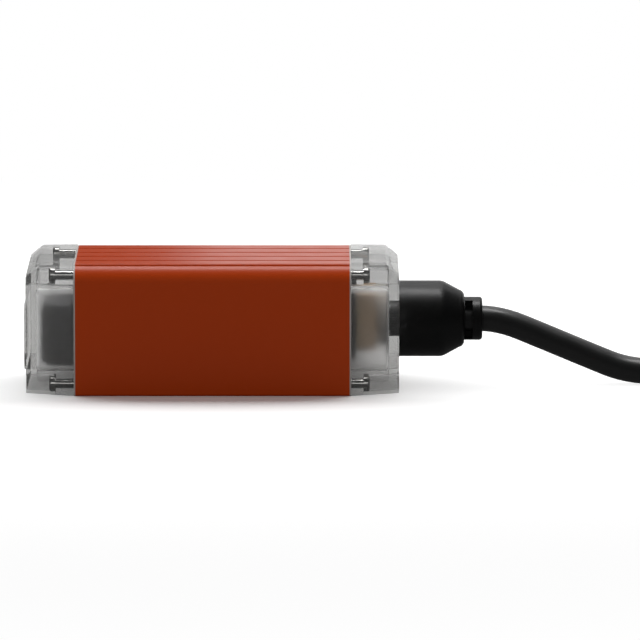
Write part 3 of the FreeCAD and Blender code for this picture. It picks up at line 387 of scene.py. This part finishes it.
# %% Tail and spline
TAIL_MM = [
    (186.0, 42.0, 26.5),
    (168.6, 43.2, 26.9),
    (158.4, 43.2, 27.2),
    (146.8, 36.5, 27.3),
    (140.0, 24.8, 27.3),
    (140.0, 11.2, 27.3),
    (146.8, -0.5, 27.3),
    (158.4, -7.2, 27.3),
    (168.6, -7.2, 27.3),
]
points_mm = ROUTE_MM + LEAD_IN_MM + hank + TAIL_MM
curve = bpy.data.curves.new("signal_cable", "CURVE")
curve.dimensions = "3D"
curve.bevel_depth = 1.0
curve.bevel_resolution = 8
curve.resolution_u = 6
curve.use_fill_caps = True
spline = curve.splines.new("NURBS")
spline.points.add(len(points_mm) - 1)
for point, place in zip(spline.points, points_mm):
    point.co = [x * MM for x in place] + [1.0]
    point.radius = CABLE_DIAMETER / 2
spline.order_u = 3
spline.use_endpoint_u = True
cable = bpy.data.objects.new("signal_cable", curve)
bpy.context.scene.collection.objects.link(cable)
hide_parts("cable", "cable_hank", "cable_tail")
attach(cable, "root")
print("cable control points", len(points_mm))

# %% [markdown]
# ## Finishes
# Each finish is named for what the real surface is and how it was made, and starts from one
# Principled shader. Real surfaces are never quite even, so nearly every finish gets a fine relief,
# from spots or stripes sized in the piece's own millimetres, and a shine that wanders a little.

# %% Finish helpers
SPOT_LOW = 0.3
SPOT_HIGH = 0.7
WAVE_CYCLE = 2 * math.pi / 20


def new_finish(name, colour, **values):
    """A material with one Principled shader; returns the material, its tree and the shader."""
    material = bpy.data.materials.new(name)
    material.use_nodes = True
    tree = material.node_tree
    tree.nodes.clear()
    shader = add_node(tree, "ShaderNodeBsdfPrincipled", {"Base Color": linear(colour)})
    for socket, value in values.items():
        shader.inputs[socket].default_value = value
    add_node(tree, "ShaderNodeOutputMaterial", links={"Surface": shader.outputs[0]})
    return material, tree, shader


def own_place(tree, stretch=(1, 1, 1)):
    """Position in the piece's own metres, stretched where a pattern has a direction."""
    place = add_node(tree, "ShaderNodeTexCoord")
    return add_node(tree, "ShaderNodeVectorMath", {1: stretch}, {0: place.outputs["Object"]},
                    operation="MULTIPLY").outputs[0]


def relief(tree, shader, height, height_mm):
    """Bump of so many millimetres on the shader, from a height between 0 and 1."""
    bump = add_node(tree, "ShaderNodeBump", {"Distance": height_mm * MM}, {"Height": height})
    tree.links.new(bump.outputs[0], shader.inputs["Normal"])


def spots(tree, size_mm, detail=2.0, stretch=(1, 1, 1)):
    """Soft spots between 0 and 1, each about so many millimetres wide."""
    return add_node(tree, "ShaderNodeTexNoise", {"Scale": per_metre(size_mm), "Detail": detail},
                    {"Vector": own_place(tree, stretch)}).outputs["Fac"]


def wander(tree, shader, socket, size_mm, low, high):
    """Lets a shader value drift between two levels over spots of so many millimetres."""
    level = add_node(tree, "ShaderNodeMapRange",
                     {"From Min": SPOT_LOW, "From Max": SPOT_HIGH, "To Min": low, "To Max": high},
                     {"Value": spots(tree, size_mm, detail=3.0)})
    tree.links.new(level.outputs[0], shader.inputs[socket])


def mottle(tree, shader, size_mm, first, second):
    """Lets the base colour drift between two colours over spots of so many millimetres."""
    blend = add_node(tree, "ShaderNodeMix", {"A": linear(first), "B": linear(second)},
                     {"Factor": spots(tree, size_mm, detail=3.0)}, data_type="RGBA")
    tree.links.new(blend.outputs[2], shader.inputs["Base Color"])


def stripes(tree, pitch_mm, direction, profile="SIN"):
    """Even bands between 0 and 1 across one axis, so many millimetres from band to band."""
    return add_node(tree, "ShaderNodeTexWave", {"Scale": per_metre(pitch_mm) * WAVE_CYCLE},
                    {"Vector": own_place(tree)}, bands_direction=direction,
                    wave_profile=profile).outputs["Fac"]


def finish(material, *names):
    """Gives CAD nodes a finish."""
    for name in names:
        mesh = nodes[name].data
        mesh.materials.clear()
        mesh.materials.append(material)


# %% [markdown]
# ## Housing
# The body is an aluminium extrusion with six grooves along its top, sprayed with a satin orange
# enamel. Sprayed enamel lies in very shallow waves, the orange peel, about half a millimetre across,
# and shines a little unevenly from the way it dried.

# %% Housing enamel
paint, tree, shader = new_finish("satin enamel on extruded aluminium", "#a93806")
shader.inputs["Specular IOR Level"].default_value = 0.18
relief(tree, shader, spots(tree, 0.5), 0.003)
wander(tree, shader, "Roughness", 7.0, 0.33, 0.39)
finish(paint, "housing_extrusion")

# %% [markdown]
# ## Clear end caps
# The caps are injection-moulded clear polycarbonate. In the picture they are smoky and milky: what
# stands straight behind them is seen in place, the thick walls are greyer than the thin ones, and
# the room inside looks blurred, because its moulded walls are frosted. So the outside is drawn with
# a low refractive index, light is absorbed on its way through the plastic, the walls of the room
# are rough, and a thin milky haze lies on every face. Lamps shine through to what is inside. The
# gloss is a soft coat, because with a sharp one the caps show specks when seen from above.

# %% Clear caps
ROOM_MIDDLE = (0.0, 0.0, 0.0179)
ROOM_HALF = (0.0487, 0.0201, 0.0119)
CAP_SMOKE = "#979796"
CAP_CLEAR = "#fafafa"
MILK_LEAST = 0.05
MILK_MOST = 0.085
clear, tree, shader = new_finish("clear moulded polycarbonate", CAP_SMOKE, Roughness=0.0, IOR=1.008)
shader.inputs["Transmission Weight"].default_value = 1.0
shader.inputs["Coat Weight"].default_value = 0.25
shader.inputs["Coat Roughness"].default_value = 0.3
frosted = add_node(tree, "ShaderNodeBsdfPrincipled",
                   {"Base Color": linear(CAP_CLEAR), "Roughness": 0.6, "IOR": 1.25,
                    "Transmission Weight": 1.0})
path = add_node(tree, "ShaderNodeLightPath")
tint = add_node(tree, "ShaderNodeMix", {"A": linear(CAP_CLEAR), "B": linear(CAP_SMOKE)},
                {"Factor": path.outputs["Is Camera Ray"]}, data_type="RGBA")
tree.links.new(tint.outputs[2], shader.inputs["Base Color"])
offset = add_node(tree, "ShaderNodeVectorMath", {1: ROOM_MIDDLE}, {0: own_place(tree)},
                  operation="SUBTRACT")
size = add_node(tree, "ShaderNodeVectorMath", links={0: offset.outputs[0]}, operation="ABSOLUTE")
share = add_node(tree, "ShaderNodeVectorMath", {1: ROOM_HALF}, {0: size.outputs[0]}, operation="DIVIDE")
parts = add_node(tree, "ShaderNodeSeparateXYZ", links={0: share.outputs[0]})
wide = add_node(tree, "ShaderNodeMath", links={0: parts.outputs[0], 1: parts.outputs[1]},
                operation="MAXIMUM")
most = add_node(tree, "ShaderNodeMath", links={0: wide.outputs[0], 1: parts.outputs[2]},
                operation="MAXIMUM")
inside = add_node(tree, "ShaderNodeMath", {1: 1.0}, {0: most.outputs[0]}, operation="LESS_THAN")
plastic = add_node(tree, "ShaderNodeMixShader",
                   links={0: inside.outputs[0], 1: shader.outputs[0], 2: frosted.outputs[0]})
milk = add_node(tree, "ShaderNodeBsdfDiffuse", {"Color": linear("#bcbcba")})
amount = add_node(tree, "ShaderNodeMapRange",
                  {"From Min": SPOT_LOW, "From Max": SPOT_HIGH,
                   "To Min": MILK_LEAST, "To Max": MILK_MOST},
                  {"Value": spots(tree, 2.5)})
cloudy = add_node(tree, "ShaderNodeMixShader",
                  links={0: amount.outputs[0], 1: plastic.outputs[0], 2: milk.outputs[0]})
through = add_node(tree, "ShaderNodeBsdfTransparent", {"Color": linear("#f8f8f8")})
unseen = add_node(tree, "ShaderNodeMath", operation="MAXIMUM",
                  links={0: path.outputs["Is Shadow Ray"], 1: path.outputs["Is Diffuse Ray"]})
both = add_node(tree, "ShaderNodeMixShader",
                links={0: unseen.outputs[0], 1: cloudy.outputs[0], 2: through.outputs[0]})
smoke = add_node(tree, "ShaderNodeVolumeAbsorption", {"Color": linear("#b0b0ae"), "Density": 21.0})
out = next(node for node in tree.nodes if node.type == "OUTPUT_MATERIAL")
tree.links.new(both.outputs[0], out.inputs["Surface"])
tree.links.new(smoke.outputs[0], out.inputs["Volume"])
finish(clear, "window_end_cap", "cable_end_cap")
print("cap shader nodes", len(tree.nodes))

# %% [markdown]
# ## Rubber and cable
# The plug grip, the strain relief and the far plug's grip are soft black elastomer moulded in a
# spark-eroded tool, which leaves a very fine matt grain. The cable jacket is extruded PVC with a
# slightly coarser, shallower grain. The seal in the cable port is a plain rubber ring.

# %% Rubber, jacket and seal
rubber, tree, shader = new_finish("moulded black elastomer", "#0b0b0b")
shader.inputs["Specular IOR Level"].default_value = 0.24
relief(tree, shader, spots(tree, 0.2), 0.01)
wander(tree, shader, "Roughness", 4.0, 0.36, 0.44)
finish(rubber, "plug_overmould", "strain_relief", "usb_overmould")

jacket, tree, shader = new_finish("extruded PVC cable jacket", "#151515")
relief(tree, shader, spots(tree, 0.3), 0.008)
wander(tree, shader, "Roughness", 5.0, 0.36, 0.46)
curve.materials.append(jacket)

seal, tree, shader = new_finish("black nitrile rubber ring", "#101010")
relief(tree, shader, spots(tree, 0.25), 0.008)
wander(tree, shader, "Roughness", 2.0, 0.42, 0.55)
finish(seal, "port_seal")

# %% [markdown]
# ## Screws and bare metal
# The screws are turned stainless steel, bright with fine tool marks. The plug barrel and the far
# plug's shell are nickel-plated and slightly cloudy, and the socket's flange is a dull zinc casting.
# The barrels of the aiming lights, the board spacers and the contact pins are turned brass.

# %% Metals
steel, tree, shader = new_finish("turned stainless steel", "#b9b8b6", Metallic=1.0)
relief(tree, shader, spots(tree, 0.5, stretch=(0.2, 1, 1)), 0.0015)
wander(tree, shader, "Roughness", 0.8, 0.07, 0.14)
finish(steel, "window_cap_screws", "cable_cap_screws", "sensor_board_screws")

nickel, tree, shader = new_finish("satin nickel plate", "#b4b0a8", Metallic=1.0)
relief(tree, shader, spots(tree, 0.6, stretch=(0.15, 1, 1)), 0.001)
wander(tree, shader, "Roughness", 2.5, 0.4, 0.5)
finish(nickel, "plug_barrel", "usb_shell")

zinc, tree, shader = new_finish("tumbled zinc die casting", "#a39e98", Metallic=1.0)
relief(tree, shader, spots(tree, 0.4), 0.01)
wander(tree, shader, "Roughness", 1.5, 0.52, 0.66)
finish(zinc, "socket_flange")

brass, tree, shader = new_finish("turned brass", "#c9a55a", Metallic=1.0)
relief(tree, shader, stripes(tree, 0.25, "X"), 0.004)
wander(tree, shader, "Roughness", 1.2, 0.2, 0.34)
finish(brass, "aimer_barrels", "board_spacers", "contact_pins")

# %% [markdown]
# ## Inside mouldings and gaskets
# The optics housing and the lens mount are dark ABS with the grain of an eroded tool. The cable
# socket is tan glass-filled nylon, in which the fibres show as slightly lighter flecks. The gaskets
# are stamped from grey silicone sheet, with the fine weave that the sheet was rolled on.

# %% Mouldings and gaskets
dark, tree, shader = new_finish("moulded dark grey ABS", "#37373a")
relief(tree, shader, spots(tree, 0.35), 0.012)
wander(tree, shader, "Roughness", 3.0, 0.45, 0.6)
finish(dark, "optics_housing", "lens_mount")

tan, tree, shader = new_finish("glass-filled tan nylon", "#c9a884")
mottle(tree, shader, 0.6, "#d2b28f", "#bd9b76")
relief(tree, shader, spots(tree, 0.3), 0.008)
wander(tree, shader, "Roughness", 2.0, 0.45, 0.58)
finish(tan, "socket_body", "flex_sockets")

silicone, tree, shader = new_finish("stamped grey silicone sheet", "#a39a96")
relief(tree, shader, spots(tree, 0.3, stretch=(1, 3, 1)), 0.01)
wander(tree, shader, "Roughness", 2.0, 0.48, 0.62)
finish(silicone, "window_gasket", "cable_gasket")

# %% [markdown]
# ## Lens
# The lens barrel is black anodised aluminium, cut with a fine thread for focusing, so bands across
# its axis give the thread. The elements are clear glass with a bluish-purple anti-reflection coating.

# %% Lens barrel and glass
anodised, tree, shader = new_finish("black anodised threaded aluminium", "#151516")
relief(tree, shader, stripes(tree, 0.5, "X", "TRI"), 0.12)
wander(tree, shader, "Roughness", 1.5, 0.3, 0.42)
finish(anodised, "lens_barrel")

glass, tree, shader = new_finish("coated optical glass", "#e9eefc", IOR=1.52)
shader.inputs["Transmission Weight"].default_value = 1.0
shader.inputs["Coat Weight"].default_value = 0.6
shader.inputs["Coat Tint"].default_value = linear("#a893ff")
wander(tree, shader, "Roughness", 3.0, 0.0, 0.02)
finish(glass, "lens_elements")

# %% [markdown]
# ## Circuit boards
# A board is glass-epoxy laminate under a coloured solder mask. Copper tracks under the mask stand up
# by a few hundredths of a millimetre and look a little lighter, here as a staggered net of lines
# from a brick pattern. The light ring and the connector carrier have black mask, the others green.

# %% Solder mask
for name, base, raised, pieces in (
    ("black solder mask over copper", "#101113", "#1d1f22", ("illumination_board", "connector_board")),
    ("green solder mask over copper", "#0e4226", "#1b6a3d", ("sensor_board", "main_board")),
):
    mask, tree, shader = new_finish(name, base)
    tracks = add_node(tree, "ShaderNodeTexBrick",
                      {"Color1": linear(base), "Color2": linear(base), "Mortar": linear(raised),
                       "Scale": per_metre(1.0), "Mortar Size": 0.12, "Brick Width": 4.2, "Row Height": 1.3},
                      {"Vector": own_place(tree)})
    tree.links.new(tracks.outputs["Color"], shader.inputs["Base Color"])
    relief(tree, shader, tracks.outputs["Fac"], 0.03)
    wander(tree, shader, "Roughness", 2.5, 0.28, 0.4)
    finish(mask, *pieces)

# %% [markdown]
# The chips, the image sensor's package, the beeper, the pin header and the plug's insert are moulded
# in black epoxy, matt from its filler. The lights are white ceramic packages with yellow phosphor,
# which shows as warm spots. The ribbon is amber polyimide film with copper conductors side by side
# in it.

# %% Parts on the boards
epoxy, tree, shader = new_finish("filled black moulding epoxy", "#18181a")
mottle(tree, shader, 0.25, "#141416", "#202023")
relief(tree, shader, spots(tree, 0.2), 0.008)
wander(tree, shader, "Roughness", 1.0, 0.5, 0.62)
finish(epoxy, "image_sensor", "board_chips", "beeper", "board_header", "plug_insert")

lamp, tree, shader = new_finish("ceramic lamp package with phosphor", "#b9b4a2")
mottle(tree, shader, 1.1, "#c4bfae", "#b79f55")
relief(tree, shader, spots(tree, 0.3), 0.01)
wander(tree, shader, "Roughness", 0.8, 0.25, 0.4)
finish(lamp, "illumination_leds", "status_leds")

film, tree, shader = new_finish("amber polyimide film with conductors", "#b4691e")
lines = stripes(tree, 0.8, "Y")
copper = add_node(tree, "ShaderNodeMix", {"A": linear("#b4691e"), "B": linear("#7c3f0f")},
                  {"Factor": lines}, data_type="RGBA")
tree.links.new(copper.outputs[2], shader.inputs["Base Color"])
relief(tree, shader, lines, 0.02)
wander(tree, shader, "Roughness", 1.5, 0.18, 0.3)
finish(film, "flex_ribbon")

# %% [markdown]
# ## Hank tie and far plug
# The tie round the put-away cable is a woven nylon strap: the strands pass over and under each other,
# drawn a little coarser than the real weave so that it still shows. The weave's colour is painted
# shade: lighter on the raised strand crossings and darker in the hollows between them. The tongue in
# the far plug is a white insulating moulding.

# %% Strap and tongue
strap, tree, shader = new_finish("woven nylon strap", "#161617")
warp = stripes(tree, 1.2, "X")
weft = stripes(tree, 1.2, "Z")
weave = add_node(tree, "ShaderNodeMath", links={0: warp, 1: weft}, operation="MULTIPLY")
# Painted shade: the colour follows the weave height, darker where the weave is low, in the hollows between
# the strands.
strand_tone_and_painted_shade = add_node(tree, "ShaderNodeMix", {"A": linear("#0e0e0f"), "B": linear("#2a2a2c")},
                   {"Factor": weave.outputs[0]}, data_type="RGBA")
tree.links.new(strand_tone_and_painted_shade.outputs[2], shader.inputs["Base Color"])
relief(tree, shader, weave.outputs[0], 0.12)
wander(tree, shader, "Roughness", 1.5, 0.6, 0.78)
finish(strap, "hank_tie")

tongue, tree, shader = new_finish("white insulating moulding", "#e8e8e4")
relief(tree, shader, spots(tree, 0.3), 0.006)
wander(tree, shader, "Roughness", 1.5, 0.38, 0.5)
finish(tongue, "usb_tongue")
print("finishes", len([m for m in bpy.data.materials if m.users]))

# %% [markdown]
# ## Which lamp lights what
# The object's lamps leave the table alone and the table's lamp leaves the object alone, as flags and
# screens do in a studio. The picture shows a soft shadow under the housing and none under the cable,
# so only the body and its caps cast the table lamp's shadow.

# %% Light groups
for thing in bpy.context.scene.objects:
    if thing.type in ("MESH", "CURVE") and thing != floor:
        on_object.objects.link(thing)
on_table.objects.link(floor)
for name in ("housing_extrusion", "window_end_cap", "cable_end_cap", "window_gasket", "cable_gasket"):
    casts.objects.link(nodes[name])
